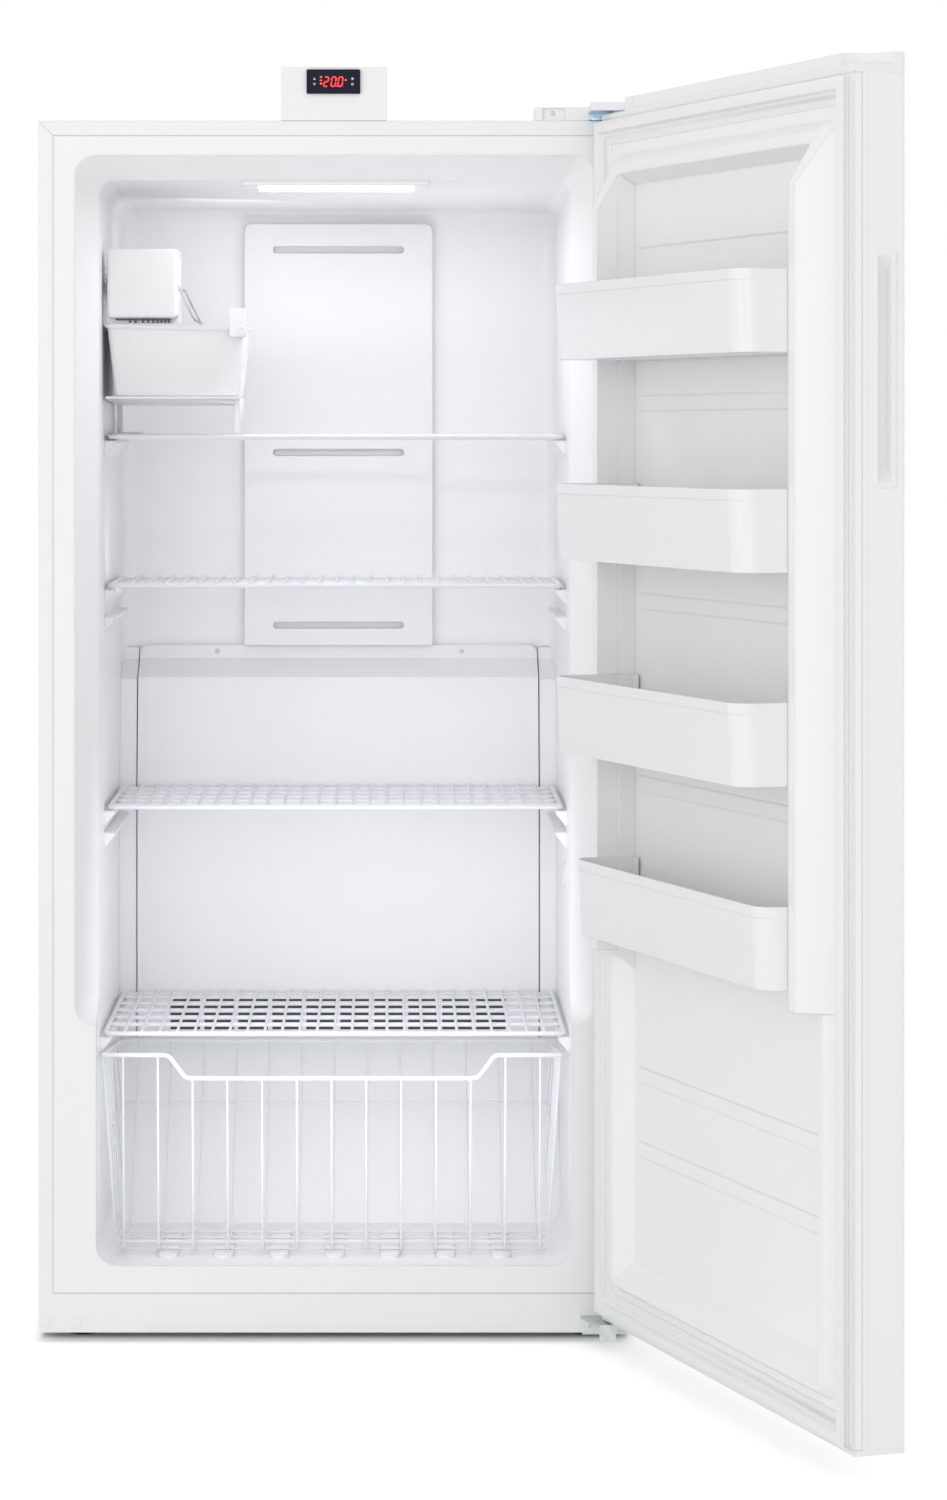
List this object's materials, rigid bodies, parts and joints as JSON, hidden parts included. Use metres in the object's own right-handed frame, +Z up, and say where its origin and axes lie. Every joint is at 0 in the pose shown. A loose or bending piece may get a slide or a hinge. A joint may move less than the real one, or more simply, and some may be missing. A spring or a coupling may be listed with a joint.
{
  "type": "upright freezer",
  "caption": "White upright freezer with its door open: wire shelves, a pull-out wire basket, an ice maker with its bin, door bins and a panel temperature controller on the roof.",
  "frame": {"origin": "on the floor, under the middle of the cabinet", "axes": "+X to the right seen from the front, +Y from the front to the back, +Z up"},
  "size_m": [1.143, 1.5181, 1.831],
  "materials": {
    "white_steel": "satin white powder coat",
    "zinc_steel": "zinc plated",
    "foam": "cut foam",
    "liner_plastic": "formed sheet, low gloss",
    "white_plastic": "moulded, low gloss",
    "bin_plastic": "moulded, low gloss",
    "seal_rubber": "soft white",
    "coated_wire": "white coated wire",
    "lens": "frosted",
    "dark_plastic": "dark, smooth",
    "key_rubber": "matt",
    "coil_metal": "mill finish",
    "machine_black": "black paint",
    "black_rubber": "matt",
    "grey_plastic": "matt"
  },
  "bodies": {
    "cabinet": {"outer_shell": "white_steel", "back_panel": "zinc_steel", "base_pan": "zinc_steel", "cabinet_foam": "foam", "cabinet_liner": "liner_plastic", "kick_plate": "white_steel", "rim_plugs": "white_plastic", "duct_cover": "white_plastic", "evaporator_cover": "white_plastic", "cabinet_screws": "zinc_steel", "evaporator_coil": "coil_metal", "evaporator_fan_motor": "grey_plastic", "defrost_heater": "coil_metal", "light_lens": "lens", "ice_maker_cover": "white_plastic", "ice_maker_mould": "coil_metal", "top_hinge_bracket": "zinc_steel", "top_hinge_cover": "white_plastic", "bottom_hinge_bracket": "zinc_steel", "control_housing": "white_steel", "control_module": "dark_plastic", "compressor": "machine_black", "condenser": "coil_metal", "condenser_fan_motor": "grey_plastic", "drip_pan": "grey_plastic", "machine_cover": "zinc_steel", "roller_brackets": "zinc_steel", "power_inlet": "black_rubber"},
    "door": {"door_panel": "white_steel", "door_foam": "foam", "door_liner": "liner_plastic", "door_gasket": "seal_rubber", "door_top_cap": "white_plastic", "door_bottom_cap": "white_plastic", "handle_pocket": "white_plastic", "hinge_bushes": "white_plastic"},
    "bin_1": {"door_bin_1": "bin_plastic"},
    "bin_2": {"door_bin_2": "bin_plastic"},
    "bin_3": {"door_bin_3": "bin_plastic"},
    "bin_4": {"door_bin_4": "bin_plastic"},
    "shelf_1": {"wire_shelf_1": "coated_wire", "ice_bin_stand": "white_plastic"},
    "shelf_2": {"wire_shelf_2": "coated_wire"},
    "shelf_3": {"wire_shelf_3": "coated_wire"},
    "shelf_4": {"wire_shelf_4": "coated_wire"},
    "basket": {"basket_ends": "coated_wire", "basket_sides": "coated_wire", "basket_floor": "coated_wire"},
    "ice_box": {"ice_bin": "bin_plastic"},
    "bail": {"ice_maker_arm": "zinc_steel"},
    "ejector": {"ice_ejector": "grey_plastic"},
    "cold_fan": {"evaporator_fan": "grey_plastic"},
    "warm_fan": {"condenser_fan": "grey_plastic"},
    "key_up_cap": {"key_up": "key_rubber"},
    "key_down_cap": {"key_down": "key_rubber"},
    "key_light_cap": {"key_light": "key_rubber"},
    "key_set_cap": {"key_set": "key_rubber"},
    "foot_left": {"levelling_foot_left": "grey_plastic"},
    "foot_right": {"levelling_foot_right": "grey_plastic"},
    "rollers": {"rear_rollers": "black_rubber"}
  },
  "joints": [
    {"name": "door_swing", "type": "hinge", "parent": "cabinet", "child": "door", "pos_m": [0.41, -0.375, 0.9], "axis": [0, 0, 1], "range_deg": [-108.5, 16.5]},
    {"name": "shelf_1_slide", "type": "slide", "parent": "cabinet", "child": "shelf_1", "axis": [0, -1, 0], "range_m": [0, 0.25]},
    {"name": "shelf_2_slide", "type": "slide", "parent": "cabinet", "child": "shelf_2", "axis": [0, -1, 0], "range_m": [0, 0.25]},
    {"name": "shelf_3_slide", "type": "slide", "parent": "cabinet", "child": "shelf_3", "axis": [0, -1, 0], "range_m": [0, 0.25]},
    {"name": "shelf_4_slide", "type": "slide", "parent": "cabinet", "child": "shelf_4", "axis": [0, -1, 0], "range_m": [0, 0.25]},
    {"name": "basket_slide", "type": "slide", "parent": "cabinet", "child": "basket", "axis": [0, -1, 0], "range_m": [0, 0.3]},
    {"name": "ice_bin_slide", "type": "slide", "parent": "shelf_1", "child": "ice_box", "axis": [0, -1, 0], "range_m": [0, 0.25]},
    {"name": "bail_lift", "type": "hinge", "parent": "cabinet", "child": "bail", "pos_m": [-0.253, -0.1, 1.524], "axis": [0, 1, 0], "range_deg": [-40, 0]},
    {"name": "ejector_turn", "type": "hinge", "parent": "cabinet", "child": "ejector", "pos_m": [-0.291, -0.1, 1.546], "axis": [0, 1, 0], "continuous": true},
    {"name": "cold_fan_spin", "type": "hinge", "parent": "cabinet", "child": "cold_fan", "pos_m": [0, 0.219, 0.842], "axis": [0, 1, 0], "continuous": true},
    {"name": "warm_fan_spin", "type": "hinge", "parent": "cabinet", "child": "warm_fan", "pos_m": [-0.15, 0.205, 0.11], "axis": [1, 0, 0], "continuous": true},
    {"name": "foot_left_turn", "type": "hinge", "parent": "cabinet", "child": "foot_left", "pos_m": [-0.365, -0.26, 0.02], "axis": [0, 0, 1], "range_deg": [-180, 180]},
    {"name": "foot_right_turn", "type": "hinge", "parent": "cabinet", "child": "foot_right", "pos_m": [0.365, -0.26, 0.02], "axis": [0, 0, 1], "range_deg": [-180, 180]},
    {"name": "rollers_roll", "type": "hinge", "parent": "cabinet", "child": "rollers", "pos_m": [0, 0.285, 0.018], "axis": [1, 0, 0], "continuous": true},
    {"name": "bin_1_lift", "type": "slide", "parent": "door", "child": "bin_1", "axis": [0, 0, 1], "range_m": [0, 0.025]},
    {"name": "bin_2_lift", "type": "slide", "parent": "door", "child": "bin_2", "axis": [0, 0, 1], "range_m": [0, 0.025]},
    {"name": "bin_3_lift", "type": "slide", "parent": "door", "child": "bin_3", "axis": [0, 0, 1], "range_m": [0, 0.025]},
    {"name": "bin_4_lift", "type": "slide", "parent": "door", "child": "bin_4", "axis": [0, 0, 1], "range_m": [0, 0.025]},
    {"name": "key_up_press", "type": "slide", "parent": "cabinet", "child": "key_up_cap", "axis": [0, 1, 0], "range_m": [0, 0.0004], "stiffness_N_per_m": 200},
    {"name": "key_down_press", "type": "slide", "parent": "cabinet", "child": "key_down_cap", "axis": [0, 1, 0], "range_m": [0, 0.0004], "stiffness_N_per_m": 200},
    {"name": "key_light_press", "type": "slide", "parent": "cabinet", "child": "key_light_cap", "axis": [0, 1, 0], "range_m": [0, 0.0004], "stiffness_N_per_m": 200},
    {"name": "key_set_press", "type": "slide", "parent": "cabinet", "child": "key_set_cap", "axis": [0, 1, 0], "range_m": [0, 0.0004], "stiffness_N_per_m": 200}
  ]
}
